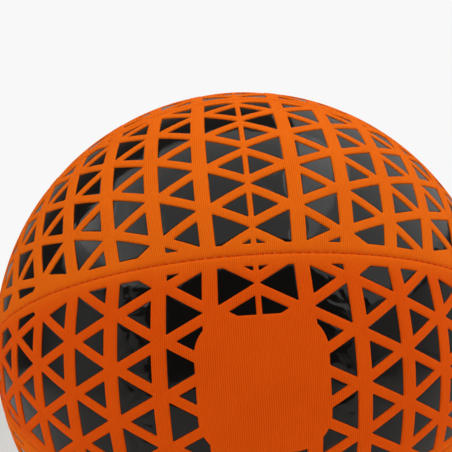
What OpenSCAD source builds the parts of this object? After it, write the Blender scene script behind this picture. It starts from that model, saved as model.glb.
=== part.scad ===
// Basketball with a sewn foam cover and a lattice of glossy grip triangles.
// The pieces are eight laminated panels, their grip film, the seam stitches, the bladder and its valve.
// Origin at the ball's centre; the panel tips meet on the X axis; the plain field faces -Y; +Z is up.

/* [Ball] */
// Outside diameter of the blown-up ball
ball_d = 240; // [232:1:246]

/* [Cover] */
// Thickness of the knitted face
face_t = 0.4; // [0.35:0.05:0.5]
// Thickness of the closed-cell foam
foam_t = 1.8; // [1.5:0.1:2]
// Thickness of the knitted lining
lining_t = 0.3; // [0.2:0.05:0.4]
// Radius to which a panel's edge rolls into its seam
roll_r = 3.2; // [3:0.1:3.6]
// Depth of the turned-in seam allowance below the lining
allowance = 4; // [3:0.5:6]
// Radius of the pucker left where the tips meet at each pole
pucker_r = 1; // [0.8:0.1:2]
// Radius to which the foam and the lining are trimmed back at each pole, so that the tips lie flat
trim_r = 8.6; // [8.4:0.1:11]

/* [Seam stitches] */
// Distance from stitch to stitch along a seam
stitch_pitch = 3.5; // [3:0.1:5]
// Diameter of the sewing thread
thread_d = 0.7; // [0.5:0.05:0.8]
// Depth of the thread's middle below the ball's surface
stitch_depth = 1.1; // [0.9:0.05:1.3]
// Bare length of seam at each pole
stitch_end = 9; // [7:0.5:15]

/* [Grip film] */
// Distance between the lattice's lines along a panel
strip_pitch = 19.6; // [18:0.1:21]
// Distance between the nodes on a line
node_pitch = 19.4; // [18:0.1:21]
// Gap from a line to a large triangle's tip
large_tip_gap = 0.9; // [0.5:0.1:2]
// Gap from a large triangle's base to the next line
large_base_gap = 4.9; // [3:0.1:6]
// Gap from a line to a small triangle's base
small_base_gap = 1.1; // [0.5:0.1:2]
// Gap from a small triangle's tip to the next line
small_tip_gap = 8.7; // [7:0.1:10]
// Half the width of a triangle's base for each unit of its height
taper = 0.53; // [0.45:0.01:0.577]
// Sideways place of the lattice's middle row, away from the seam of each panel pair
row_shift = 2.3; // [0:0.1:3]
// Bare width beside each seam
seam_margin = 4.3; // [3.5:0.1:7]
// Thickness of the film
film_t = 0.2; // [0.15:0.05:0.25]
// Depth of the film's top below the knit around it
film_sink = 0.05; // [0.05:0.05:0.1]

/* [Plain field] */
// Width of the plain field on the front panel
field_w = 48; // [30:1:70]
// Height of the plain field
field_h = 50; // [30:1:56]
// Corner radius of the plain field
field_corner_r = 14; // [5:1:15]

/* [Bladder] */
// Thickness of the bladder's wall
bladder_t = 0.8; // [0.6:0.1:1.2]
// Room between the bladder's channels and the seam allowances
channel_gap = 0.3; // [0.2:0.1:0.6]

/* [Valve] */
// Diameter of the hole through the cover
valve_hole_d = 9; // [8:0.1:10]
// Diameter of the rubber stem in that hole
stem_d = 8.4; // [7.4:0.1:8.8]
// Depth of the stem's end below the ball's surface
stem_sink = 0.1; // [0.05:0.05:0.3]
// Length of the stem from its outer end
stem_l = 20; // [18:0.5:26]
// Diameter of the flange that is bonded inside the bladder
flange_d = 32; // [26:1:40]
// Thickness of that flange
flange_t = 1.2; // [1:0.1:2]
// Diameter of the self-sealing core
core_d = 5.2; // [4.8:0.1:5.8]
// Length of the core
core_l = 16; // [14:0.5:17]
// Diameter of the needle's channel in the core
needle_d = 2.4; // [2:0.1:2.6]
// Depth of that channel
needle_l = 12; // [9:0.5:13]
// Radius left free of film around the valve
valve_clear_r = 12; // [8:0.5:16]

/* [Hidden] */
$fn = 96;
panels = 8;
front_panel = 1;
valve_panel = 5;
half_angle = 180 / panels;
ball_r = ball_d / 2;
cover_t = face_t + foam_t + lining_t;
inner_r = ball_r - cover_t;
allowance_r = inner_r - allowance;
// The roll starts and ends at a slight angle to the ball and to the seam's plane.
roll_break = 0.12;
roll_ring_r = ball_r - roll_r + roll_break;
roll_side = roll_r - roll_break;
deg_per_mm = 180 / (PI * ball_r);
film_top_r = ball_r - film_sink;
film_floor_r = film_top_r - film_t;
strips = floor(90 / (strip_pitch * deg_per_mm));
nodes_aside = ceil(half_angle / (node_pitch * deg_per_mm)) + 1;
stitches_aside = floor((90 - stitch_end * deg_per_mm) / (stitch_pitch * deg_per_mm));
// Least depth of a triangle's deepest corner past the bare margin
film_least = 1;
// Spare length by which a cutting shape passes the surface that it cuts
spare = 2;

PER_PANEL = ["face", "foam", "lining", "grip_film", "seam_stitches"];

// Frames

// Panel frame: +X out through the panel's middle, Z along its length, -Y towards the next panel
module on_panel(n) {
    rotate([0, 90, 0])
        rotate([0, 0, -90 - 2 * half_angle * (n - 1)])
            children();
}

// Seam frame within a panel's: XY is the seam's plane on that side, +X out at its middle
module on_edge(side) {
    rotate([0, 0, side * half_angle])
        rotate([90, 0, 0])
            children();
}

// Shapes of the cover

// A sphere whose own poles lie off to the panel's sides
module ball(r) {
    rotate([90, 0, 180])
        sphere(r);
}

// The space of one panel, with both seam planes moved inwards by d
module wedge(d) {
    tip = d / sin(half_angle);
    reach = ball_r + spare;
    side = (reach - tip) * tan(half_angle);
    translate([0, 0, -reach])
        linear_extrude(2 * reach)
            polygon([[tip, 0], [reach, -side], [reach, side]]);
}

// What the rolled edges beside a seam leave open, for the ply surface at depth d
module roll_gap(d) {
    rotate_extrude()
        difference() {
            translate([roll_ring_r, -roll_side])
                square([roll_r + spare, 2 * roll_side]);
            for (side = [-1, 1])
                translate([roll_ring_r, side * roll_side])
                    circle(roll_r - d);
        }
}

// All of a panel's space below the ply surface at depth d, with rolled edges as far in as the foam
module panel_body(d) {
    difference() {
        intersection() {
            ball(ball_r - d);
            wedge(d);
        }
        if (d < face_t + foam_t)
            for (side = [-1, 1])
                on_edge(side)
                    roll_gap(d);
    }
}

// One ply between two depths: the dome, its rolled edges and its turned-in allowances, less any children
module ply(n, d, t) {
    difference() {
        panel_body(d);
        panel_body(d + t);
        ball(allowance_r);
        cylinder(r = d == 0 ? pucker_r : trim_r, h = 2 * (ball_r + spare), center = true);
        if (n == valve_panel)
            valve_hole();
        children();
    }
}

module valve_hole() {
    rotate([0, 90, 0])
        translate([0, 0, inner_r - spare])
            cylinder(d = valve_hole_d, h = cover_t + 2 * spare);
}

// Lattice of the grip film

// Direction of the cloth's point at u along the panel and w across it, in degrees
function toward(u, w) = [cos(w) * cos(u), sin(w), cos(w) * sin(u)];

// How far a direction lies from the panel's nearer seam, on the ball
function room(v) = ball_r * (v.x * sin(half_angle) - abs(v.y) * cos(half_angle));

// A triangle of the cloth: its tip, then the two ends of its base
function triangle(tip_u, base_u, w) =
    let (half_base = taper * abs(base_u - tip_u))
    [[tip_u, w], [base_u, w - half_base], [base_u, w + half_base]];

function row_offset(n) = (n % 2 == 0 ? -1 : 1) * row_shift;

// Every triangle of a panel, in millimetres along and across the cloth
function lattice(n) = [
    for (end = [-1, 1], strip = [0:strips - 1], j = [-nodes_aside:nodes_aside])
        let (
            line = strip * strip_pitch,
            w = (j + (strip % 2) / 2) * node_pitch + row_offset(n),
            large = triangle(end * (line + large_tip_gap),
                             end * (line + strip_pitch - large_base_gap), w),
            small = triangle(end * (line + strip_pitch - small_tip_gap),
                             end * (line + small_base_gap), w + node_pitch / 2)
        )
        for (corners = [large, small])
            if (max([for (c = corners) room(toward(c.x * deg_per_mm, c.y * deg_per_mm))])
                > seam_margin + film_least)
                corners
];

// A prism that stands on the ball over one triangle of the cloth
module film_prism(corners) {
    middle = (corners[0] + corners[1] + corners[2]) / 3 * deg_per_mm;
    u = middle.x;
    w = middle.y;
    along = [-sin(u), 0, cos(u)];
    across = [-sin(w) * cos(u), cos(w), -sin(w) * sin(u)];
    outline = [
        for (c = corners)
            let (v = ball_r * toward(c.x * deg_per_mm, c.y * deg_per_mm))
            [-v * along, v * across]
    ];
    rotate([0, -u, 0])
        rotate([0, 0, w])
            rotate([0, 90, 0])
                translate([0, 0, film_floor_r - spare])
                    linear_extrude(3 * spare)
                        polygon(outline);
}

// The sheet that a panel's triangles are cut from, clear of the seams, the field and the valve
module film_sheet(n, top_r) {
    difference() {
        intersection() {
            ball(top_r);
            wedge(seam_margin);
        }
        ball(film_floor_r);
        if (n == front_panel)
            plain_field();
        if (n == valve_panel)
            rotate([0, 90, 0])
                cylinder(r = valve_clear_r, h = ball_r + 2 * spare);
    }
}

module film_triangles(n, top_r) {
    intersection() {
        film_sheet(n, top_r);
        for (corners = lattice(n))
            film_prism(corners);
    }
}

// Block over the front panel's plain field, with its length along the panel
module plain_field() {
    rotate([0, 90, 0])
        linear_extrude(ball_r + 2 * spare) {
            square([field_w - 2 * field_corner_r, field_h], center = true);
            square([field_w, field_h - 2 * field_corner_r], center = true);
            for (x = [-1, 1], y = [-1, 1])
                translate([x * (field_w / 2 - field_corner_r), y * (field_h / 2 - field_corner_r)])
                    circle(field_corner_r);
        }
}

// Pieces of a panel

module face(n) {
    color("#e2560f")
        on_panel(n)
            ply(n, 0, face_t)
                film_triangles(n, ball_r + spare / 2);
}

module foam(n) {
    color("#3a3a3c")
        on_panel(n)
            ply(n, face_t, foam_t);
}

module lining(n) {
    color("#202124")
        on_panel(n)
            ply(n, face_t + foam_t, lining_t);
}

module grip_film(n) {
    color("#121417")
        on_panel(n)
            film_triangles(n, film_top_r);
}

// The crossings of one seam's thread, each a bar pressed between the two rolled edges
module seam_stitches(n) {
    ring_r = ball_r - stitch_depth;
    lean = asin((ring_r - roll_ring_r) / roll_r);
    half_w = roll_side - roll_r * cos(lean);
    flare = thread_d / 2 * tan(lean);
    color("#d9601a")
        on_panel(n)
            on_edge(-1)
                for (i = [-stitches_aside:stitches_aside])
                    rotate([0, 0, (i * stitch_pitch - thread_d / 2) * deg_per_mm])
                        rotate_extrude(angle = thread_d * deg_per_mm)
                            polygon([
                                [ring_r - thread_d / 2, flare - half_w],
                                [ring_r + thread_d / 2, -flare - half_w],
                                [ring_r + thread_d / 2, half_w + flare],
                                [ring_r - thread_d / 2, half_w - flare]
                            ]);
}

// Bladder

// The four great circles of seam allowances, grown by a wall's thickness
module allowance_rings(wall) {
    half_w = cover_t + channel_gap + wall;
    floor_r = allowance_r - channel_gap - wall;
    for (n = [1:panels / 2])
        on_panel(n)
            on_edge(-1)
                rotate_extrude()
                    translate([floor_r, -half_w])
                        square([ball_r - floor_r, 2 * half_w]);
    // The allowances meet at the poles in a round, flat-bottomed dish.
    dish_r = 1.3 * half_w / sin(half_angle);
    for (side = [-1, 1])
        rotate([0, side * 90, 0])
            translate([0, 0, floor_r - channel_gap])
                cylinder(r = dish_r, h = ball_r - floor_r);
}

module bladder() {
    color("#26272a")
        difference() {
            sphere(inner_r);
            allowance_rings(0);
            difference() {
                sphere(inner_r - bladder_t);
                allowance_rings(bladder_t);
            }
            on_panel(valve_panel)
                rotate([0, 90, 0])
                    cylinder(d = stem_d, h = ball_r);
        }
}

// Valve

// Stem with its bonded flange and the seat of the core
module valve_boot() {
    wall_r = inner_r - bladder_t;
    color("#1b1c1e")
        on_panel(valve_panel)
            difference() {
                union() {
                    intersection() {
                        difference() {
                            ball(wall_r);
                            ball(wall_r - flange_t);
                        }
                        rotate([0, 90, 0])
                            cylinder(d = flange_d, h = ball_r);
                    }
                    rotate([0, 90, 0])
                        translate([0, 0, ball_r - stem_sink - stem_l])
                            cylinder(d = stem_d, h = stem_l);
                }
                rotate([0, 90, 0])
                    translate([0, 0, ball_r - stem_sink - stem_l - spare])
                        cylinder(d = core_d, h = stem_l + 2 * spare);
            }
}

// Self-sealing plug with the needle's channel, closed at its inner end
module valve_core() {
    top_r = ball_r - stem_sink;
    color("#2e3033")
        on_panel(valve_panel)
            rotate([0, 90, 0])
                difference() {
                    translate([0, 0, top_r - core_l])
                        cylinder(d = core_d, h = core_l);
                    translate([0, 0, top_r - needle_l])
                        cylinder(d = needle_d, h = needle_l + spare);
                }
}

for (n = [1:panels]) {
    face(n);
    foam(n);
    lining(n);
    grip_film(n);
    seam_stitches(n);
}
bladder();
valve_boot();
valve_core();
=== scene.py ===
"""Basketball with a sewn foam cover: eight knitted panels with a lattice of glossy film triangles."""

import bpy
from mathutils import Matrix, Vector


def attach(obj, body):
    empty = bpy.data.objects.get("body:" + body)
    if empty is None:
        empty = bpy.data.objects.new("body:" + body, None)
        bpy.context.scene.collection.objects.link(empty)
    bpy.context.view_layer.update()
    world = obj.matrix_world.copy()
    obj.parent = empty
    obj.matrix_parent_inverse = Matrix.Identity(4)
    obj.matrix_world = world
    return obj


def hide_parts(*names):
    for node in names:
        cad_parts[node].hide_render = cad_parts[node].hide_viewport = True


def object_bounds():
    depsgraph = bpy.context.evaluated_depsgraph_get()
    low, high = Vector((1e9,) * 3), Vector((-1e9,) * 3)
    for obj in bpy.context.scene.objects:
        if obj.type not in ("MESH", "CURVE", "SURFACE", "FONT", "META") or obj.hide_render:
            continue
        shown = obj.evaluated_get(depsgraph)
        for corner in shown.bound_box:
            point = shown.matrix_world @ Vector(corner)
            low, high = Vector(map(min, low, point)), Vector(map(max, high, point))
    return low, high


bl_info = {
    "name": "Sewn foam basketball",
    "version": (1, 0, 0),
    "blender": (4, 5, 0),
    "location": "3D View > Sidebar > Ball",
    "description": "Builds the looks of a sewn foam basketball around its fixed frame",
    "category": "Object",
}

import math

import bpy
import numpy as np
from bpy.props import FloatProperty, FloatVectorProperty, PointerProperty
from mathutils import Matrix, Vector, kdtree, noise
from mathutils.geometry import delaunay_2d_cdt

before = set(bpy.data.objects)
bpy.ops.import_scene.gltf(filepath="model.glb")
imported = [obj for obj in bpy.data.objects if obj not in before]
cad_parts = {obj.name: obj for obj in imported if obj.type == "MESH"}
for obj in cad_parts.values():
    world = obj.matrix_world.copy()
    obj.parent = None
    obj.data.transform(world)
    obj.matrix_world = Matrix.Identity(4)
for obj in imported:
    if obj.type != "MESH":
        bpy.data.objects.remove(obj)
CAD_BOX = [list(corner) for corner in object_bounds()]

PANELS = 8
# Half of the angle that a panel takes round the ball's axis.
HALF = math.pi / PANELS
FRONT_PANEL, VALVE_PANEL = 1, 5
# Cloth coordinates go into the UV map in units of 100 mm.
UV_UNIT = 100.0


def linear(code):
    """An sRGB hex colour as linear RGBA."""
    parts = [int(code[i:i + 2], 16) / 255 for i in (1, 3, 5)]
    return (*(c / 12.92 if c <= 0.04045 else ((c + 0.055) / 1.055) ** 2.4 for c in parts), 1.0)


def length(name, description, default_mm, low_mm, high_mm):
    """A length property, given in millimetres and kept in metres."""
    return FloatProperty(name=name, description=description, default=default_mm / 1000,
                         min=low_mm / 1000, max=high_mm / 1000, unit="LENGTH", subtype="DISTANCE")


def colour(name, description, code):
    """A colour property, given as an sRGB hex value."""
    return FloatVectorProperty(name=name, description=description, default=linear(code),
                               size=4, min=0, max=1, subtype="COLOR")


class BallSizes(bpy.types.PropertyGroup):
    """Sizes of the ball's pieces."""

    ball_d: length("Ball", "Outside diameter of the blown-up ball",
                   1000 * (CAD_BOX[1][2] - CAD_BOX[0][2]), 232, 246)
    roll_w: length("Roll width", "Width over which a panel's edge rolls into its seam", 1.9, 1, 5)
    roll_depth: length("Roll depth", "Depth of the groove between two panels", 1.1, 0.8, 4)
    stitch_pitch: length("Stitch pitch", "Distance from stitch to stitch", 3.5, 3, 5)
    thread_d: length("Thread", "Diameter of the sewing thread", 0.7, 0.5, 0.8)
    strip_pitch: length("Line pitch", "Distance between the lattice's lines along a panel", 19.6, 18, 21)
    node_pitch: length("Node pitch", "Distance between the nodes on a line", 19.4, 18, 21)
    large_tip_gap: length("Large tip gap", "From a line to a large triangle's tip", 0.9, 0.5, 2)
    large_base_gap: length("Large base gap", "From a large triangle's base to the next line", 4.9, 3, 6)
    small_base_gap: length("Small base gap", "From a line to a small triangle's base", 1.1, 0.5, 2)
    small_tip_gap: length("Small tip gap", "From a small triangle's tip to the next line", 8.7, 7, 10)
    taper: FloatProperty(name="Taper", description="Half a triangle's base for each unit of its height",
                         default=0.53, min=0.45, max=0.577)
    row_shift: length("Row shift", "Sideways place of the lattice's middle row", 2.3, 0, 3)
    seam_margin: length("Seam margin", "Bare width beside each seam", 4.3, 3.5, 7)
    field_w: length("Field width", "Width of the plain field on the front panel", 48, 30, 70)
    field_h: length("Field height", "Height of the plain field", 50, 30, 56)
    field_corner_r: length("Field corner", "Corner radius of the plain field", 14, 5, 15)
    shoulder: length("Shoulder", "Depth to which the knit rounds over at the film's edge", 0.7, 0.1, 1)
    film_sink: length("Film sink", "Depth of the film below the knit's crown", 0.45, 0.05, 0.6)
    rib_pitch: length("Rib pitch", "Distance between the ribs of the knit", 0.79, 0.5, 2)
    valve_hole_d: length("Valve hole", "Diameter of the hole through the cover", 9, 8, 10)
    valve_clear_r: length("Valve clearance", "Radius left free of film around the valve", 12, 8, 16)


class BallColours(bpy.types.PropertyGroup):
    """Colours of the ball's materials."""

    knit: colour("Knit", "Orange jersey face", "#FE7514")
    # Painted shade: the knit is painted a deeper orange between its ribs, where the ribs shade each other.
    knit_deep: colour("Knit, between ribs", "Deeper orange between its ribs", "#E5590B")
    # Painted shade: the turned colours are a shaded copy of the knit that paints the front and back panels
    # redder away from their seams, where the light falls off.
    turned: colour("Turned knit", "The same jersey with its nap turned, on the front and back panels",
                   "#F95F0E")
    painted_shade_deep: colour("Turned knit, between ribs", "Deeper orange between its ribs", "#E04708")
    nap: colour("Nap", "Amber sheen of the knit's fibre ends", "#FFA048")
    film: colour("Grip film", "Black polyurethane film", "#0C0A08")
    thread: colour("Thread", "Sewing thread in the seams", "#F07A30")
    foam: colour("Foam", "Closed-cell foam", "#3A3A3C")
    lining: colour("Lining", "Knitted lining", "#202124")
    bladder: colour("Bladder", "Butyl rubber of the bladder", "#26272A")
    valve: colour("Valve", "Rubber of the valve boot", "#1B1C1E")
    core: colour("Valve core", "Soft rubber of the valve's core", "#2E3033")
    floor: colour("Floor", "Pale floor", "#FCFCFA")


def mm(name):
    """One of the ball's sizes in millimetres."""
    return getattr(bpy.context.scene.ball_sizes, name) * 1000


def tint(name):
    """One of the ball's colours, linear."""
    return tuple(getattr(bpy.context.scene.ball_colours, name))


# Shape of the cloth on the ball. A panel's frame has x out through its middle, y across and z along.

# Each stitch draws the seam's edge in, less and less away from the seam, in millimetres.
STITCH_PULL, PULL_REACH = 0.08, 1.4


def toward(cloth):
    """Directions of cloth points (u along, w across, millimetres) in the panel's frame."""
    u, w = (np.asarray(cloth, float) / (mm("ball_d") / 2)).T
    return np.stack([np.cos(w) * np.cos(u), np.sin(w), np.cos(w) * np.sin(u)], axis=-1)


def room(v, side):
    """Distance of the ball's points in directions v from the seam's plane on one side."""
    return mm("ball_d") / 2 * (v[..., 0] * math.sin(HALF) - side * v[..., 1] * math.cos(HALF))


def seam_room(v):
    """Distance of the ball's points in directions v from the nearer seam's plane."""
    return np.minimum(room(v, -1), room(v, 1))


def across_at(u, s):
    """How far across a panel the cloth lies at distance s from the seam's plane."""
    r = mm("ball_d") / 2
    a, b = np.cos(np.asarray(u) / r) * math.sin(HALF), math.cos(HALF)
    return r * (np.arccos(np.clip(s / (r * np.hypot(a, b)), -1, 1)) - np.arctan2(b, a))


def roll_drop(s):
    """How far a panel's edge has rolled down at distance s from the seam's plane."""
    t = np.clip(1 - np.asarray(s) / mm("roll_w"), 0, 1)
    return mm("roll_depth") * (1 - np.sqrt(1 - t * t))


def drop(v, u):
    """Rolled depth of the surface in directions v, drawn in a little at each stitch of both seams."""
    pull = STITCH_PULL * np.cos(2 * math.pi * np.asarray(u) / mm("stitch_pitch"))
    return np.maximum(*(
        roll_drop(np.clip(room(v, side) - pull * np.exp(-room(v, side) / PULL_REACH), 0, None))
        for side in (-1, 1)
    ))


def placed(n, points):
    """Points of panel n's frame in the ball's frame, still in millimetres."""
    turn = 2 * HALF * (n - 1)
    x, y, z = np.asarray(points).T
    c, s = math.cos(turn), math.sin(turn)
    return np.stack([z, -x * c - y * s, x * s - y * c], axis=-1)


# Lattice of the grip film

# Outlines of the film: spacing of their points and radius of their corners in millimetres,
# and the least area that is kept, in square millimetres.
OUTLINE_STEP, FILM_CORNER_R, LEAST_AREA = 1.0, 0.45, 0.8


def lattice(n):
    """Corners of every triangle on panel n's cloth, large and small, before they are cut back."""
    r = mm("ball_d") / 2
    pitch, nodes = mm("strip_pitch"), mm("node_pitch")
    shift = mm("row_shift") * (1 if n % 2 else -1)
    aside = math.ceil(HALF * r / nodes) + 1
    for end in (-1, 1):
        for strip in range(int(math.pi / 2 * r / pitch)):
            line = strip * pitch
            for j in range(-aside, aside + 1):
                w = (j + strip % 2 / 2) * nodes + shift
                for tip, base, middle in (
                    (line + mm("large_tip_gap"), line + pitch - mm("large_base_gap"), w),
                    (line + pitch - mm("small_tip_gap"), line + mm("small_base_gap"), w + nodes / 2),
                ):
                    half = bpy.context.scene.ball_sizes.taper * abs(base - tip)
                    yield np.array([[end * tip, middle], [end * base, middle - half],
                                    [end * base, middle + half]])


def dense(outline, step):
    """An outline with points no further apart than step."""
    made = []
    for a, b in zip(outline, np.roll(outline, -1, axis=0)):
        count = max(1, math.ceil(np.linalg.norm(b - a) / step))
        made += [a + (b - a) * i / count for i in range(count)]
    return np.array(made)


def clipped(outline, inside):
    """The parts of a dense outline where inside(points) is positive, closed along its zero line."""
    value = inside(outline)
    if (value > 0).all():
        return [outline]
    if (value <= 0).all():
        return []
    count = len(outline)
    starts = [i for i in range(count) if value[i] > 0 and value[i - 1] <= 0]
    parts = []
    for first in starts:
        run = [first]
        while value[(run[-1] + 1) % count] > 0:
            run.append((run[-1] + 1) % count)
        ends = []
        for kept, lost in ((run[0], run[0] - 1), (run[-1], (run[-1] + 1) % count)):
            t = value[kept] / (value[kept] - value[lost])
            ends.append(outline[kept] + (outline[lost] - outline[kept]) * t)
        cut = np.linspace(ends[1], ends[0], max(2, math.ceil(np.linalg.norm(ends[1] - ends[0]))) + 1)
        # A few Newton steps bring the cut's points onto the zero line.
        step = 0.01
        for _ in range(4):
            slope = np.stack([(inside(cut + d) - inside(cut - d)) / (2 * step)
                              for d in ([step, 0], [0, step])], axis=-1)
            cut = cut - slope * (inside(cut) / np.maximum((slope ** 2).sum(-1), 1e-6))[:, None]
        parts.append(np.concatenate([outline[run], cut]))
    return parts


def rounded(outline, radius):
    """An outline with its sharp corners cut round."""
    # Cosine where the outline runs nearly straight on, and the most of an edge that a corner takes.
    straight, most = -0.9, 0.45
    made = []
    count = len(outline)
    for i in range(count):
        p, before, after = outline[i], outline[i - 1], outline[(i + 1) % count]
        a, b = before - p, after - p
        la, lb = np.linalg.norm(a), np.linalg.norm(b)
        if min(la, lb) < 1e-6:
            continue
        if a @ b / (la * lb) < straight:
            made.append(p)
            continue
        a, b = p + a / la * min(radius, most * la), p + b / lb * min(radius, most * lb)
        made += [a, 0.25 * a + 0.5 * p + 0.25 * b, b]
    return np.array(made)


def signed_area(outline):
    """Area of an outline, positive where it runs anticlockwise."""
    x, y = outline.T
    return 0.5 * float((x * np.roll(y, -1) - y * np.roll(x, -1)).sum())


def film_outlines(n):
    """Outlines of panel n's film triangles, clear of the seams, the plain field and the valve."""
    r = mm("ball_d") / 2
    margin = mm("seam_margin")
    corner = mm("field_corner_r")

    def field(cloth):
        v = r * toward(cloth)
        past = np.abs(v[:, [2, 1]]) - np.array([mm("field_w"), mm("field_h")]) / 2 + corner
        outside = np.linalg.norm(np.maximum(past, 0), axis=1) + np.minimum(past.max(axis=1), 0)
        return outside - corner

    def valve(cloth):
        return r * np.linalg.norm(toward(cloth)[:, 1:], axis=1) - mm("valve_clear_r")

    limits = [lambda cloth, side=side: room(toward(cloth), side) - margin for side in (-1, 1)]
    limits += {FRONT_PANEL: [field], VALVE_PANEL: [valve]}.get(n, [])
    made = []
    for corners in lattice(n):
        if seam_room(toward(corners)).max() < margin + OUTLINE_STEP:
            continue
        parts = [dense(corners, OUTLINE_STEP)]
        for limit in limits:
            parts = [piece for part in parts for piece in clipped(part, limit)]
        for part in parts:
            if abs(signed_area(part)) > LEAST_AREA:
                part = part if signed_area(part) > 0 else part[::-1]
                made.append(rounded(part, FILM_CORNER_R))
    return made


def outward(outline):
    """Outward unit normals at the points of an anticlockwise outline."""
    edge = np.roll(outline, -1, axis=0) - outline
    edge /= np.maximum(np.linalg.norm(edge, axis=1), 1e-9)[:, None]
    side = np.stack([edge[:, 1], -edge[:, 0]], axis=-1)
    normal = side + np.roll(side, 1, axis=0)
    return normal / np.maximum(np.linalg.norm(normal, axis=1), 1e-9)[:, None]


# Meshes


def mesh_piece(name, points, faces, cloth=None):
    """A smooth mesh object from points in millimetres, with its cloth coordinates as a UV map."""
    mesh = bpy.data.meshes.new(name)
    mesh.from_pydata((np.asarray(points) / 1000).tolist(), [], faces)
    if cloth is not None:
        corner = np.empty(len(mesh.loops), np.int32)
        mesh.loops.foreach_get("vertex_index", corner)
        layer = mesh.uv_layers.new(name="cloth")
        layer.data.foreach_set("uv", (np.asarray(cloth)[corner] / UV_UNIT).astype(np.float32).ravel())
    mesh.polygons.foreach_set("use_smooth", [True] * len(mesh.polygons))
    mesh.update()
    mesh.validate()
    piece = bpy.data.objects.new(name, mesh)
    bpy.context.scene.collection.objects.link(piece)
    return piece


def dress(piece, slot, material, *nodes):
    """Gives a piece its material and its place in the frame."""
    piece.data.materials.append(material)
    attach(piece, "root")
    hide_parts(*nodes)


def ring_faces(rings, count, first=0):
    """Quads between successive closed rings of count points each."""
    return [
        (first + k * count + i, first + k * count + (i + 1) % count,
         first + (k + 1) * count + (i + 1) % count, first + (k + 1) * count + i)
        for k in range(rings - 1) for i in range(count)
    ]


# The knit's mesh, in millimetres: the radius at which the tips end, the spacing along the border,
# the rings round each triangle, the rows along each seam and the net between them.
TIP_R, BORDER_STEP, NET_STEP = 1.0, 1.15, 2.6
SHOULDER_RINGS = (0, 0.12, 0.32, 0.65)
SEAM_ROWS = (0.1, 0.3, 0.6, 1.0, 1.5, 2.1, 2.8, 3.6)
# What the rings and the net keep free beside a seam, what the rows and the net keep free round the film,
# and the least distance of a row from the panel's middle.
RING_MARGIN, NET_MARGIN, ROW_CLEAR, NET_CLEAR, ROW_LEAST = 2.6, 4.4, 0.75, 1.2, 0.3
# Distance from the film of the border, and of points that the triangulation adds.
BORDER_GAP, ADDED_GAP = 9.0, 0.5
VALVE_HOLE_POINTS = 32
# Depth of a panel's turned-in edge, and how near to the edge a point counts as on it.
EDGE_DEPTH, ON_EDGE = 2.4, 0.05


def knit_panel(n):
    """Points, faces and cloth coordinates of panel n's knitted face, open where the film lies."""
    r = mm("ball_d") / 2
    end = r * math.acos(TIP_R / r)
    along = np.arange(-end, end + 0.1, 2 * end / round(2 * end / BORDER_STEP))
    holes = film_outlines(n)
    if n == VALVE_PANEL:
        turn = np.linspace(0, 2 * math.pi, VALVE_HOLE_POINTS + 1)[:-1]
        holes.append(mm("valve_hole_d") / 2 * np.stack([np.cos(turn), np.sin(turn)], axis=-1))

    edge = np.stack([along, across_at(along, 0)], axis=-1)
    border = np.concatenate([edge * [1, -1], edge[::-1]])
    cloth, near = [border], [np.full(len(border), BORDER_GAP)]
    loops = [list(range(len(border)))]
    total = len(border)
    for hole in holes:
        loops.append(list(range(total, total + len(hole))))
        normal = outward(hole)
        for gap in SHOULDER_RINGS:
            ring = hole + normal * gap
            if gap:
                ring = ring[seam_room(toward(ring)) > RING_MARGIN]
            cloth.append(ring)
            near.append(np.full(len(ring), gap))
            total += len(ring)

    tree = kdtree.KDTree(sum(len(hole) for hole in holes))
    for i, p in enumerate(np.concatenate(holes)):
        tree.insert((*p, 0), i)
    tree.balance()

    def loose(points, least):
        """Adds points that keep clear of the film's edges."""
        gap = np.array([tree.find((*p, 0))[2] for p in points])
        cloth.append(points[gap > least])
        near.append(gap[gap > least])

    for s in SEAM_ROWS:
        w = across_at(along, s)
        row = np.stack([along, w], axis=-1)[w > ROW_LEAST]
        loose(np.concatenate([row, row * [1, -1]]), ROW_CLEAR)
    far, wide = int(end / NET_STEP), math.ceil(HALF * r / NET_STEP)
    net = np.array([(i * NET_STEP, (j + i % 2 / 2) * NET_STEP)
                    for i in range(-far, far + 1) for j in range(-wide, wide + 1)])
    loose(net[seam_room(toward(net)) > NET_MARGIN], NET_CLEAR)

    cloth, near = np.concatenate(cloth), np.concatenate(near)
    made, _, faces, source, _, owners = delaunay_2d_cdt(
        [Vector(p) for p in cloth], [], loops, 0, 1e-4, True)
    made = np.array([tuple(p) for p in made])
    gap = np.array([near[s[0]] if s else ADDED_GAP for s in source])
    # A face that belongs to the border's loop alone lies outside every hole.
    faces = [f for f, owner in zip(faces, owners) if list(owner) == [0]]

    v = toward(made)
    t = np.clip(gap / SHOULDER_RINGS[-1], 0, 1)
    sink = mm("shoulder") * (1 - np.sqrt(1 - (1 - t) ** 2))
    points = v * (r - sink - drop(v, made[:, 0]))[:, None]

    # The edges go on down into the seams and the valve's hole as the turned-in allowance.
    used = dict.fromkeys((a, b) for f in faces for a, b in zip(f, (*f[1:], f[0])))
    open_edges = [(a, b) for a, b in used if (b, a) not in used]
    inner = seam_room(v) < ON_EDGE
    if n == VALVE_PANEL:
        inner |= np.linalg.norm(made, axis=1) < mm("valve_hole_d") / 2 + ON_EDGE
    rim = sorted({i for e in open_edges for i in e if inner[i]})
    below = {i: len(points) + k for k, i in enumerate(rim)}
    points = np.concatenate([points, points[rim] * (1 - EDGE_DEPTH / r)])
    made = np.concatenate([made, made[rim]])
    faces = faces + [(b, a, below[a], below[b]) for a, b in open_edges if inner[a] and inner[b]]
    return points, faces, made


# The film's form, in millimetres: how far and how deep it runs on under the knit, the insets and dips
# of its pressed edge, and its rings inside that, more where it is loose.
TUCK, TUCK_DEPTH = 0.2, 0.15
PRESSED_EDGE = ((0.0, 0.1), (0.08, 0.05), (0.2, 0.015), (0.4, 0.0))
RINGS, LOOSE_RINGS, LEAST_SLACK = 3, 8, 0.02
# Height of a triangle's crown, slope of its lean and the noise's scale from triangle to triangle.
CROWN, LEAN, NEXT_SIZE = 0.06, 0.004, 7.0
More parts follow.
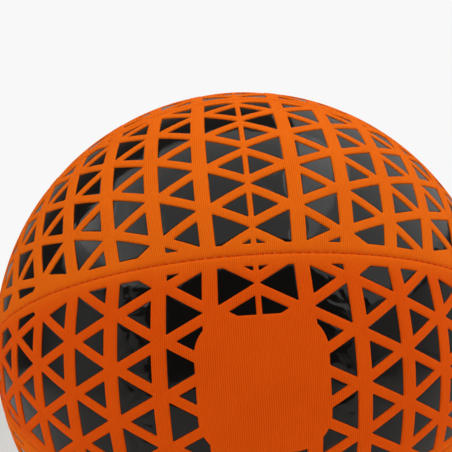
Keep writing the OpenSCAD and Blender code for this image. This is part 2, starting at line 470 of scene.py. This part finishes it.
# Depth and size of the dents. The foam lies 0.6 below the crown of the knit, so nothing sinks so far.
LEAST_DENT, DENT, DENT_SIZE, DEEPEST = 0.02, 0.16, 4.4, 0.57
# Where the front panel's film is loose, along the panel, and the height, rise and size of its bulges.
LOOSE_MIDDLE, LOOSE_AT, LOOSE_WIDTH = -6, 40, 10
BULGE, BULGE_RISE, BULGE_SIZE = 0.33, 1.1, 7.0
# Each panel has layers of the noise of its own, this far apart, for its triangles, dents and bulges.
TRIANGLE_LAYER, DENT_LAYER, BULGE_LAYER = 3.1, 2.7, 4.3


def ripple(flat, size, layer):
    """Smooth noise at cloth points, in forms of about the given size in millimetres."""
    return np.array([noise.noise(Vector((*p / size, layer))) for p in flat])


def film_panel(n):
    """Points, faces and cloth coordinates of panel n's film, each triangle tucked under the knit's edge."""
    r, sink = mm("ball_d") / 2, mm("film_sink")
    points, faces, cloth = [], [], []
    total = 0
    for outline in film_outlines(n):
        count = len(outline)
        middle = outline.mean(axis=0)
        # About the radius of the circle that the triangle holds.
        inner_r = 0.45 * math.sqrt(abs(signed_area(outline))) + 0.2
        seed = Vector((*middle / NEXT_SIZE, n * TRIANGLE_LAYER))
        # To both sides of the plain field the film is loose: it bulges between creases.
        aside = abs(middle[0] - LOOSE_MIDDLE) - LOOSE_AT
        slack = math.exp(-(aside / LOOSE_WIDTH) ** 2) if n == FRONT_PANEL else 0
        crown = CROWN * noise.noise(seed)
        lean = LEAN * np.array([noise.noise(seed + Vector(way)) for way in ((9, 0, 0), (0, 9, 0))])
        rings, low = [outline + outward(outline) * TUCK], [mm("shoulder") + TUCK_DEPTH]
        for inset, dip in PRESSED_EDGE:
            rings.append(middle + (outline - middle) * max(1 - inset / inner_r, 0.3))
            low.append(sink + dip)
        last = rings[-1]
        swell = [0.0] * len(rings)
        for share in np.linspace(1, 0, LOOSE_RINGS if slack > LEAST_SLACK else RINGS, endpoint=False)[1:]:
            rings.append(middle + (last - middle) * share)
            low.append(sink - crown * (1 - share ** 2))
            swell.append(slack * (1 - share ** 4))
        flat = np.concatenate([*rings, [middle]])
        depth = np.concatenate([np.repeat(low, count), [sink - crown]])
        inside = np.arange(len(flat)) >= len(PRESSED_EDGE) * count
        depth = depth - (flat - middle) @ lean * inside
        # Here and there a triangle is dented, as far as the foam under it.
        dent = LEAST_DENT + DENT * max(0, noise.noise(seed + Vector((0, 0, 5))) + 0.1)
        depth = depth - dent * inside * ripple(flat, DENT_SIZE, n * DENT_LAYER)
        depth[inside] = np.minimum(depth[inside], DEEPEST)
        if slack:
            bulge = np.minimum(BULGE, BULGE_RISE * np.abs(ripple(flat, BULGE_SIZE, n * BULGE_LAYER)))
            depth = depth - np.append(np.repeat(swell, count), slack) * bulge
        points.append(toward(flat) * (r - depth)[:, None])
        cloth.append(flat)
        faces += ring_faces(len(rings), count, total)
        hub = total + len(flat) - 1
        last_ring = hub - count
        faces += [(last_ring + i, last_ring + (i + 1) % count, hub) for i in range(count)]
        total += len(flat)
    return np.concatenate(points), faces, np.concatenate(cloth)


# The inner layers, in millimetres: the radius at the poles where they end, and the depth to which
# the plies' edges turn in. Their columns crowd towards the seams by a power.
POLE_R, TURNED_IN, CROWD = 8.7, 6.5, 1.6


def gore_rows(r, start_s, profile, rows=73, columns=21):
    """Grid of a gore's surface at radius r less profile(s), from start_s off one seam to the other."""
    end = math.acos(POLE_R / r)
    share = np.linspace(0, 1, columns // 2 + 1) ** CROWD
    made = []
    for u in np.linspace(-end, end, rows):
        c = math.cos(u) * math.sin(HALF)
        half_row = []
        for s in start_s + (r * c - start_s) * share:
            q = r - float(profile(s))
            k = 1 + (c / math.cos(HALF)) ** 2
            g = s * c / math.cos(HALF) ** 2
            a = (g + math.sqrt(max(g * g - k * ((s / math.cos(HALF)) ** 2 - q * q), 0))) / k
            half_row.append((a * math.cos(u), (a * c - s) / math.cos(HALF), a * math.sin(u)))
        half_row = np.array(half_row)
        made.append(np.concatenate([half_row, half_row[-2::-1] * [1, -1, 1]]))
    return np.array(made)


def ply_panel(depth, thickness):
    """Points, faces and cloth coordinates of a closed ply under a panel's face, with its turned-in edges."""
    r = mm("ball_d") / 2
    rows = []
    for d in (depth, depth + thickness):
        grid = gore_rows(r - d, d, lambda s, d=d: roll_drop(s - d))
        for edge in (0, -1):
            turned = grid[:, edge] * ((r - TURNED_IN) / np.linalg.norm(grid[:, edge], axis=1))[:, None]
            grid = np.insert(grid, 0 if edge == 0 else grid.shape[1], turned, axis=1)
        rows.append(grid)
    outer, inner = rows
    ring = np.concatenate([outer, inner[:, ::-1]], axis=1)
    count = ring.shape[1]
    faces = ring_faces(len(ring), count)
    wide = outer.shape[1]
    for k in (0, len(ring) - 1):
        cap = [(k * count + i, k * count + i + 1, k * count + count - 2 - i, k * count + count - 1 - i)
               for i in range(wide - 1)]
        faces += cap if k else [f[::-1] for f in cap]
    points = ring.reshape(-1, 3)
    cloth = np.stack([np.arctan2(points[:, 2], points[:, 0]) * r, points[:, 1]], axis=-1)
    return points, faces, cloth


def lathe(profile, steps=64):
    """Points and faces of a closed profile (radius, height) turned round the valve's axis, +Y."""
    profile = np.array(profile)
    count = len(profile)
    turn = np.linspace(0, 2 * math.pi, steps + 1)[:-1]
    points = np.array([(rad * math.cos(a), y, rad * math.sin(a)) for a in turn for rad, y in profile])
    faces = [
        (k * count + i, (k + 1) % steps * count + i,
         (k + 1) % steps * count + (i + 1) % count, k * count + (i + 1) % count)
        for k in range(steps) for i in range(count)
    ]
    return points, faces


# Materials


def add(tree, kind, sockets=None, **settings):
    """Adds a node with its settings; a socket given another node's output is linked to it."""
    node = tree.nodes.new(kind)
    for name, value in settings.items():
        setattr(node, name, value)
    for name, value in (sockets or {}).items():
        if isinstance(value, bpy.types.NodeSocket):
            tree.links.new(value, node.inputs[name])
        else:
            node.inputs[name].default_value = value
    return node


def new_material(name):
    """An empty node material and its tree."""
    material = bpy.data.materials.new(name)
    material.use_nodes = True
    material.node_tree.nodes.clear()
    return material, material.node_tree


def bands(pitch_mm):
    """Scale at which a wave texture's bands lie pitch_mm apart on the cloth."""
    # They repeat every 2 pi / 20 of a unit at scale 1.
    return 2 * math.pi / 20 * UV_UNIT / pitch_mm


def knit_material():
    # Warp-knitted polyester jersey, dyed orange: fine ribs across the panel, matt, with a soft amber nap.
    material, tree = new_material("polyester_jersey_ribbed")
    cloth = add(tree, "ShaderNodeUVMap", uv_map="cloth")
    ribs = add(tree, "ShaderNodeTexWave",
               {"Vector": cloth.outputs["UV"], "Scale": bands(mm("rib_pitch")),
                "Distortion": 0.6, "Detail": 1.0, "Detail Scale": 1.5},
               wave_type="BANDS", bands_direction="X", wave_profile="SIN")
    # Loops along each rib, one every 0.6 mm.
    loops = add(tree, "ShaderNodeTexWave",
                {"Vector": cloth.outputs["UV"], "Scale": bands(0.6), "Distortion": 1.5, "Detail": 1.0},
                wave_type="BANDS", bands_direction="Y", wave_profile="SIN")
    # Uneven dye and stretch, in patches of about 25 mm.
    patches = add(tree, "ShaderNodeTexNoise",
                  {"Vector": cloth.outputs["UV"], "Scale": UV_UNIT / 25, "Detail": 3.0, "Roughness": 0.6})
    # Painted shade in the ribs' valleys, over uneven dye in patches: the ramps run from the deep colour
    # between the ribs to the crown colour on them.
    rib_shade_and_dye = add(tree, "ShaderNodeMath", {0: ribs.outputs["Fac"], 1: 0.42}, operation="MULTIPLY")
    rib_shade_and_dye = add(tree, "ShaderNodeMath", {0: patches.outputs["Fac"], 1: 0.5, 2: rib_shade_and_dye.outputs["Value"]},
                operation="MULTIPLY_ADD")
    ramps = []
    for crown, between in (("knit", "knit_deep"), ("turned", "painted_shade_deep")):
        ramp = add(tree, "ShaderNodeValToRGB", {"Fac": rib_shade_and_dye.outputs["Value"]})
        low, high = ramp.color_ramp.elements
        low.position, low.color = 0.05, tint(between)
        high.position, high.color = 0.5, tint(crown)
        ramps.append(ramp.outputs["Color"])
    # Painted shade: the front and back panels take the shaded copy of the knit, redder away from their
    # seams, standing in for the light that falls off down the front panel.
    place = add(tree, "ShaderNodeTexCoord")
    way = add(tree, "ShaderNodeSeparateXYZ", {"Vector": place.outputs["Object"]})
    around = add(tree, "ShaderNodeMath", {0: way.outputs["Z"], 1: way.outputs["Y"]}, operation="ARCTAN2")
    aside = add(tree, "ShaderNodeMath", {0: around.outputs["Value"], 1: math.pi / 2}, operation="PINGPONG")
    turned = add(tree, "ShaderNodeMapRange",
                 {"Value": aside.outputs["Value"], "From Min": 1.12 * HALF, "From Max": 0.75 * HALF},
                 interpolation_type="SMOOTHSTEP")
    # A colour mix has its factor at input 0, its colours at 6 and 7, and its result at output 2.
    base = add(tree, "ShaderNodeMix", {0: turned.outputs["Result"], 6: ramps[0], 7: ramps[1]},
               data_type="RGBA")
    fine = add(tree, "ShaderNodeBump",
               {"Height": loops.outputs["Fac"], "Strength": 0.25, "Distance": 0.00008})
    bump = add(tree, "ShaderNodeBump",
               {"Height": ribs.outputs["Fac"], "Strength": 0.5, "Distance": 0.00014,
                "Normal": fine.outputs["Normal"]})
    shader = add(tree, "ShaderNodeBsdfPrincipled",
                 {"Base Color": base.outputs[2], "Roughness": 0.78, "IOR": 1.45,
                  "Specular IOR Level": 0.02, "Sheen Weight": 0.06, "Sheen Roughness": 0.5,
                  "Sheen Tint": tint("nap"), "Normal": bump.outputs["Normal"]})
    add(tree, "ShaderNodeOutputMaterial", {"Surface": shader.outputs["BSDF"]})
    return material


def film_material():
    # Polyurethane film, hot pressed on the knit: black, wet-looking gloss with a slight waviness.
    material, tree = new_material("polyurethane_film_hot_pressed")
    cloth = add(tree, "ShaderNodeUVMap", uv_map="cloth")
    # Waves of about 6 mm, as soft film takes over foam, and the ribs pressing through it.
    waves = add(tree, "ShaderNodeTexNoise",
                {"Vector": cloth.outputs["UV"], "Scale": UV_UNIT / 6, "Detail": 1.0})
    ribs = add(tree, "ShaderNodeTexWave",
               {"Vector": cloth.outputs["UV"], "Scale": bands(mm("rib_pitch")), "Distortion": 0.6},
               wave_type="BANDS", bands_direction="X")
    grain = add(tree, "ShaderNodeBump",
                {"Height": ribs.outputs["Fac"], "Strength": 0.1, "Distance": 0.00002})
    bump = add(tree, "ShaderNodeBump",
               {"Height": waves.outputs["Fac"], "Strength": 0.08, "Distance": 0.0003,
                "Normal": grain.outputs["Normal"]})
    # Handling leaves the gloss a little uneven.
    wear = add(tree, "ShaderNodeMapRange",
               {"Value": waves.outputs["Fac"], "From Min": 0.3, "From Max": 0.7,
                "To Min": 0.08, "To Max": 0.13})
    shader = add(tree, "ShaderNodeBsdfPrincipled",
                 {"Base Color": tint("film"), "Roughness": wear.outputs["Result"], "IOR": 1.4,
                  "Specular IOR Level": 0.38, "Normal": bump.outputs["Normal"]})
    add(tree, "ShaderNodeOutputMaterial", {"Surface": shader.outputs["BSDF"]})
    return material


def thread_material():
    # Twisted polyester sewing thread: matt, a little paler than the knit, with fine filaments.
    material, tree = new_material("polyester_thread_twisted")
    place = add(tree, "ShaderNodeTexCoord")
    # Filaments of about 0.15 mm.
    fibre = add(tree, "ShaderNodeTexNoise",
                {"Vector": place.outputs["Object"], "Scale": 1000 / 0.15, "Detail": 2.0})
    ramp = add(tree, "ShaderNodeValToRGB", {"Fac": fibre.outputs["Fac"]})
    low, high = ramp.color_ramp.elements
    low.position, low.color = 0.3, tint("thread")
    high.position, high.color = 0.8, tint("knit_deep")
    bump = add(tree, "ShaderNodeBump",
               {"Height": fibre.outputs["Fac"], "Strength": 0.4, "Distance": 0.00005})
    shader = add(tree, "ShaderNodeBsdfPrincipled",
                 {"Base Color": ramp.outputs["Color"], "Roughness": 0.7, "Specular IOR Level": 0.1,
                  "Sheen Weight": 0.1, "Sheen Tint": tint("nap"), "Normal": bump.outputs["Normal"]})
    add(tree, "ShaderNodeOutputMaterial", {"Surface": shader.outputs["BSDF"]})
    return material


def inner_material(name, colour_name, grain_mm, roughness, depth):
    """A rubber, foam or lining whose surface has grain of the given size."""
    material, tree = new_material(name)
    place = add(tree, "ShaderNodeTexCoord")
    grain = add(tree, "ShaderNodeTexNoise",
                {"Vector": place.outputs["Object"], "Scale": 1000 / grain_mm,
                 "Detail": 3.0, "Roughness": 0.6})
    ramp = add(tree, "ShaderNodeValToRGB", {"Fac": grain.outputs["Fac"]})
    *rgb, alpha = tint(colour_name)
    low, high = ramp.color_ramp.elements
    low.position, low.color = 0.25, (*(0.7 * c for c in rgb), 1)
    high.position, high.color = 0.75, (*rgb, alpha)
    bump = add(tree, "ShaderNodeBump", {"Height": grain.outputs["Fac"], "Strength": 0.5, "Distance": depth})
    shader = add(tree, "ShaderNodeBsdfPrincipled",
                 {"Base Color": ramp.outputs["Color"], "Roughness": roughness, "IOR": 1.5,
                  "Normal": bump.outputs["Normal"]})
    add(tree, "ShaderNodeOutputMaterial", {"Surface": shader.outputs["BSDF"]})
    return material


# Operators


class BALL_OT_knit_faces(bpy.types.Operator):
    """Make the eight knitted panel faces"""

    bl_idname = "ball.knit_faces"
    bl_label = "Knitted faces"

    def execute(self, context):
        material = knit_material()
        for n in range(1, PANELS + 1):
            points, faces, cloth = knit_panel(n)
            piece = mesh_piece(f"knit_face_{n}", placed(n, points), faces, cloth)
            dress(piece, "face_knit", material, f"face_{n}")
        return {"FINISHED"}


class BALL_OT_grip_film(bpy.types.Operator):
    """Make the film triangles of the eight panels"""

    bl_idname = "ball.grip_film"
    bl_label = "Grip film"

    def execute(self, context):
        material = film_material()
        for n in range(1, PANELS + 1):
            points, faces, cloth = film_panel(n)
            piece = mesh_piece(f"film_triangles_{n}", placed(n, points), faces, cloth)
            dress(piece, "grip_film", material, f"grip_film_{n}")
        return {"FINISHED"}


class BALL_OT_seam_stitches(bpy.types.Operator):
    """Make the thread that crosses the eight seams"""

    bl_idname = "ball.seam_stitches"
    bl_label = "Seam stitches"

    def execute(self, context):
        material = thread_material()
        r, thread, pitch = mm("ball_d") / 2, mm("thread_d"), mm("stitch_pitch")
        # In millimetres: the gap at each pole, and a stitch's reach to each side, depth, rise and slant.
        pole_gap, reach, depth, rise, slant = 9, 0.8, 0.78, 0.16, 0.25
        # Two strands turn round each other: their turn to each side, and their offset and radius.
        twist, offset, strand_r = 2.6, 0.24 * thread, 0.3 * thread
        steps, sides = 9, 6
        aside = int((math.pi / 2 - pole_gap / r) * r / pitch)
        t = np.linspace(-1, 1, steps)
        turn = np.linspace(0, 2 * math.pi, sides + 1)[:-1]
        out_0 = np.array([math.cos(HALF), -math.sin(HALF), 0])
        side = np.array([math.sin(HALF), math.cos(HALF), 0])
        pole = np.array([0, 0, 1])
        for n in range(1, PANELS + 1):
            points, faces = [], []
            for i in range(-aside, aside + 1):
                a = i * pitch / r
                out = math.cos(a) * out_0 + math.sin(a) * pole
                along = -math.sin(a) * out_0 + math.cos(a) * pole
                for strand in (0, math.pi):
                    angle = strand + twist * t
                    lift = r - depth + rise * (1 - t * t) + offset * np.sin(angle)
                    slew = offset * np.cos(angle) + slant * t
                    spine = (reach * t)[:, None] * side + lift[:, None] * out + slew[:, None] * along
                    tube = spine[:, None, :] + strand_r * (
                        np.cos(turn)[None, :, None] * out + np.sin(turn)[None, :, None] * along)
                    faces += ring_faces(steps, sides, len(points) * steps * sides)
                    points.append(tube.reshape(-1, 3))
            piece = mesh_piece(f"seam_thread_{n}", placed(n, np.concatenate(points)), faces)
            dress(piece, "thread", material, f"seam_stitches_{n}")
        return {"FINISHED"}


class BALL_OT_cover_plies(bpy.types.Operator):
    """Make the foam and the lining under each panel's face"""

    bl_idname = "ball.cover_plies"
    bl_label = "Foam and lining"

    def execute(self, context):
        # Closed-cell foam, cut from a sheet: matt, with fine open cells on its cut faces.
        foam = inner_material("chloroprene_foam_closed_cell", "foam", 0.6, 0.9, 0.0001)
        # Plain knitted polyester lining: matt and dark.
        lining = inner_material("polyester_lining_knitted", "lining", 0.8, 0.85, 0.00015)
        for n in range(1, PANELS + 1):
            # Depths below the knit's crown and thicknesses, in millimetres.
            for name, slot, material, node, depth, thickness in (
                (f"foam_ply_{n}", "cover_foam", foam, f"foam_{n}", 0.6, 1.6),
                (f"lining_ply_{n}", "lining_knit", lining, f"lining_{n}", 2.25, 0.25),
            ):
                points, faces, cloth = ply_panel(depth, thickness)
                piece = mesh_piece(name, placed(n, points), faces, cloth)
                dress(piece, slot, material, node)
        return {"FINISHED"}


class BALL_OT_bladder(bpy.types.Operator):
    """Make the rubber bladder with its channels for the seam allowances"""

    bl_idname = "ball.bladder"
    bl_label = "Bladder"

    def execute(self, context):
        # In millimetres: the cover's thickness, the channels' depth, half width and flank, and the wall.
        cover, depth, half_width, flank, wall_mm = 2.6, 4.6, 2.9, 2.0, 0.8

        def channel(s):
            t = np.clip((s - half_width) / flank, 0, 1)
            return depth * (1 - t * t * (3 - 2 * t))

        grid = gore_rows(mm("ball_d") / 2 - cover, 0.0, channel, columns=31)
        rows, columns = grid.shape[:2]
        points, faces = [], []
        for n in range(1, PANELS + 1):
            first = (n - 1) * rows * columns
            points.append(placed(n, grid.reshape(-1, 3)))
            faces += [(first + k * columns + i, first + k * columns + i + 1,
                       first + (k + 1) * columns + i + 1, first + (k + 1) * columns + i)
                      for k in range(rows - 1) for i in range(columns - 1)]
        piece = mesh_piece("bladder_shell", np.concatenate(points), faces)
        wall = piece.modifiers.new("wall", "SOLIDIFY")
        wall.thickness, wall.offset = wall_mm / 1000, -1
        # Butyl rubber, moulded and dusted with talc: dark, matt and slightly mottled.
        rubber = inner_material("butyl_rubber_moulded", "bladder", 2.5, 0.65, 0.0001)
        dress(piece, "bladder_rubber", rubber, "bladder")
        return {"FINISHED"}


class BALL_OT_valve(bpy.types.Operator):
    """Make the valve's boot and its self-sealing core"""

    bl_idname = "ball.valve"
    bl_label = "Valve"

    def execute(self, context):
        r = mm("ball_d") / 2
        # Profiles as radius and height, in millimetres.
        top, wall = r - 0.1, r - 3.3
        boot = [(2.6, top - 0.5), (2.75, top - 0.3), (3.0, top - 0.22), (3.3, top - 0.05),
                (3.7, top), (4.0, top - 0.1), (4.2, top - 0.45), (4.2, wall - 0.9),
                (4.6, wall - 0.15), (6.0, wall - 0.1), (15.5, wall - 1.0), (16.0, wall - 1.2),
                (15.6, wall - 1.75), (6.0, wall - 1.4), (4.6, wall - 1.6), (4.2, wall - 2.2),
                (4.2, r - 19.7), (3.8, r - 20.1), (2.6, r - 20.1)]
        core = [(0.0, top - 12.0), (1.2, top - 12.0), (1.2, top - 1.1), (1.35, top - 0.75),
                (1.8, top - 0.55), (2.4, top - 0.5), (2.6, top - 0.6), (2.6, top - 15.5),
                (2.2, top - 16.0), (0.0, top - 16.0)]
        # Moulded rubber with a satin skin.
        rubber = inner_material("natural_rubber_moulded", "valve", 0.8, 0.5, 0.00005)
        # Soft cut rubber, duller than the boot.
        soft = inner_material("silicone_rubber_soft", "core", 0.5, 0.6, 0.00005)
        for name, profile, slot, material, node in (
            ("valve_stem", boot, "valve_rubber", rubber, "valve_boot"),
            ("valve_plug", core, "core_rubber", soft, "valve_core"),
        ):
            points, faces = lathe(profile)
            piece = mesh_piece(name, points, faces)
            dress(piece, slot, material, node)
        return {"FINISHED"}


class BALL_OT_stage(bpy.types.Operator):
    """Make the floor, the soft lights and the camera"""

    bl_idname = "ball.stage"
    bl_label = "Stage"

    def execute(self, context):
        scene = context.scene
        scene.view_settings.view_transform = "Standard"

        # Pale board that fades out into the pale backdrop.
        steps, board_r, under = 64, 1600, 0.1
        low = CAD_BOX[0][2] * 1000 - under
        turn = [2 * math.pi * i / steps for i in range(steps)]
        rim = [(board_r * math.cos(a), board_r * math.sin(a), low) for a in turn]
        floor = mesh_piece("floor", rim, [tuple(range(steps))])
        material, tree = new_material("floor_matt_board")
        place = add(tree, "ShaderNodeTexCoord")
        spread = add(tree, "ShaderNodeVectorMath", {0: place.outputs["Object"]}, operation="LENGTH")
        fade = add(tree, "ShaderNodeMapRange",
                   {"Value": spread.outputs["Value"], "From Min": 0.3, "From Max": 1.3,
                    "To Min": 1, "To Max": 0},
                   interpolation_type="SMOOTHSTEP")
        shader = add(tree, "ShaderNodeBsdfPrincipled",
                     {"Base Color": tint("floor"), "Roughness": 0.9, "Specular IOR Level": 0.1,
                      "Alpha": fade.outputs["Result"]})
        add(tree, "ShaderNodeOutputMaterial", {"Surface": shader.outputs["BSDF"]})
        floor.data.materials.append(material)

        world = bpy.data.worlds.new("studio")
        scene.world = world
        world.use_nodes = True
        tree = world.node_tree
        tree.nodes.clear()
        # The room is dim, with a pale wall behind the ball. Seen directly it is all pale.
        path = add(tree, "ShaderNodeLightPath")
        sky = add(tree, "ShaderNodeTexCoord")
        way = add(tree, "ShaderNodeSeparateXYZ", {"Vector": sky.outputs["Generated"]})
        wall = add(tree, "ShaderNodeMapRange",
                   {"Value": way.outputs["Y"], "From Min": 0.6, "From Max": 1.0,
                    "To Min": 0.1, "To Max": 0.55},
                   interpolation_type="SMOOTHSTEP")
        dim = add(tree, "ShaderNodeBackground",
                  {"Color": linear("#FFF2E8"), "Strength": wall.outputs["Result"]})
        pale = add(tree, "ShaderNodeBackground", {"Color": linear("#F8F8F8"), "Strength": 1.0})
        seen = add(tree, "ShaderNodeMixShader",
                   {"Fac": path.outputs["Is Camera Ray"], 1: dim.outputs["Background"],
                    2: pale.outputs["Background"]})
        add(tree, "ShaderNodeOutputWorld", {"Surface": seen.outputs["Shader"]})

        # Softboxes overhead and to both sides, and two dim cards low down: where each stands and aims,
        # its size in metres, its radiance and its levels at one end, the middle and the other end.
        for name, stand, aim, size, radiance, levels in (
            ("softbox_top", (-0.33, -0.33, 0.8), (-0.33, -0.33, 0.0), (1.75, 1.06), 1.13, (1.0, 1.0, 1.0)),
            ("softbox_left", (-1.05, -0.25, 0.78), (-1.05, -0.25, 0.0), (1.3, 0.9), 1.25, (0.3, 1.0, 0.0)),
            ("softbox_right", (0.85, 0.08, 0.84), (0.0, 0.0, 0.0), (2.6, 1.12), 1.98, (0.74, 0.62, 0.1)),
            ("card_right", (1.25, -0.34, 0.09), (0.0, 0.0, 0.0), (2.2, 0.5), 0.57, (0.5, 0.75, 1.0)),
            ("card_left", (-1.15, -0.42, 0.15), (0.0, 0.0, 0.0), (1.45, 0.7), 0.7, (0.0, 1.0, 0.6)),
        ):
            light = bpy.data.lights.new(name, "AREA")
            light.shape, light.size, light.size_y = "RECTANGLE", *size
            # A flat light's radiance is its power over pi times its area.
            light.energy = radiance * math.pi * size[0] * size[1]
            light.use_nodes = True
            tree = light.node_tree
            tree.nodes.clear()
            spot = add(tree, "ShaderNodeNewGeometry")
            across = add(tree, "ShaderNodeSeparateXYZ", {"Vector": spot.outputs["Parametric"]})
            level = add(tree, "ShaderNodeValToRGB", {"Fac": across.outputs["X"]})
            level.color_ramp.elements.new(0.5)
            for stop, grey in zip(level.color_ramp.elements, levels):
                stop.color = (grey, grey, grey, 1)
            glow = add(tree, "ShaderNodeEmission", {"Color": level.outputs["Color"]})
            add(tree, "ShaderNodeOutputLight", {"Surface": glow.outputs["Emission"]})
            lamp = bpy.data.objects.new(name, light)
            scene.collection.objects.link(lamp)
            lamp.location = stand
            lamp.rotation_mode = "QUATERNION"
            lamp.rotation_quaternion = (Vector(aim) - Vector(stand)).to_track_quat("-Z", "Y")

        # The photo's view: slightly above the ball, turned and rolled a little, close in.
        lens = bpy.data.cameras.new("camera")
        lens.sensor_width, lens.lens = 36, 62.66
        lens.clip_start, lens.clip_end = 0.01, 50
        lens.shift_y = 0.15
        camera = bpy.data.objects.new("camera", lens)
        scene.collection.objects.link(camera)
        right = Vector((0.99755, -0.03284, -0.06171))
        up = Vector((0.06408, 0.07682, 0.99499))
        turned = Matrix((right, up, right.cross(up))).transposed().to_4x4()
        camera.matrix_world = Matrix.Translation((-0.01892, -0.38996, 0.05445)) @ turned
        scene.camera = camera
        return {"FINISHED"}


class BALL_PT_panel(bpy.types.Panel):
    """The ball's sizes, colours and pieces"""

    bl_idname = "BALL_PT_panel"
    bl_label = "Sewn foam basketball"
    bl_space_type = "VIEW_3D"
    bl_region_type = "UI"
    bl_category = "Ball"

    def draw(self, context):
        for operator in OPERATORS:
            self.layout.operator(operator.bl_idname)
        for group in (context.scene.ball_sizes, context.scene.ball_colours):
            column = self.layout.column()
            for name in group.__annotations__:
                column.prop(group, name)


OPERATORS = (BALL_OT_stage, BALL_OT_knit_faces, BALL_OT_grip_film, BALL_OT_seam_stitches,
             BALL_OT_cover_plies, BALL_OT_bladder, BALL_OT_valve)
CLASSES = (BallSizes, BallColours, *OPERATORS, BALL_PT_panel)


def register():
    for cls in CLASSES:
        bpy.utils.register_class(cls)
    bpy.types.Scene.ball_sizes = PointerProperty(type=BallSizes)
    bpy.types.Scene.ball_colours = PointerProperty(type=BallColours)


def unregister():
    del bpy.types.Scene.ball_colours
    del bpy.types.Scene.ball_sizes
    for cls in reversed(CLASSES):
        bpy.utils.unregister_class(cls)


def main():
    register()
    bpy.ops.ball.stage()
    bpy.ops.ball.knit_faces()
    bpy.ops.ball.grip_film()
    bpy.ops.ball.seam_stitches()
    bpy.ops.ball.cover_plies()
    bpy.ops.ball.bladder()
    bpy.ops.ball.valve()
    bpy.context.view_layer.update()


if __name__ == "__main__":
    main()
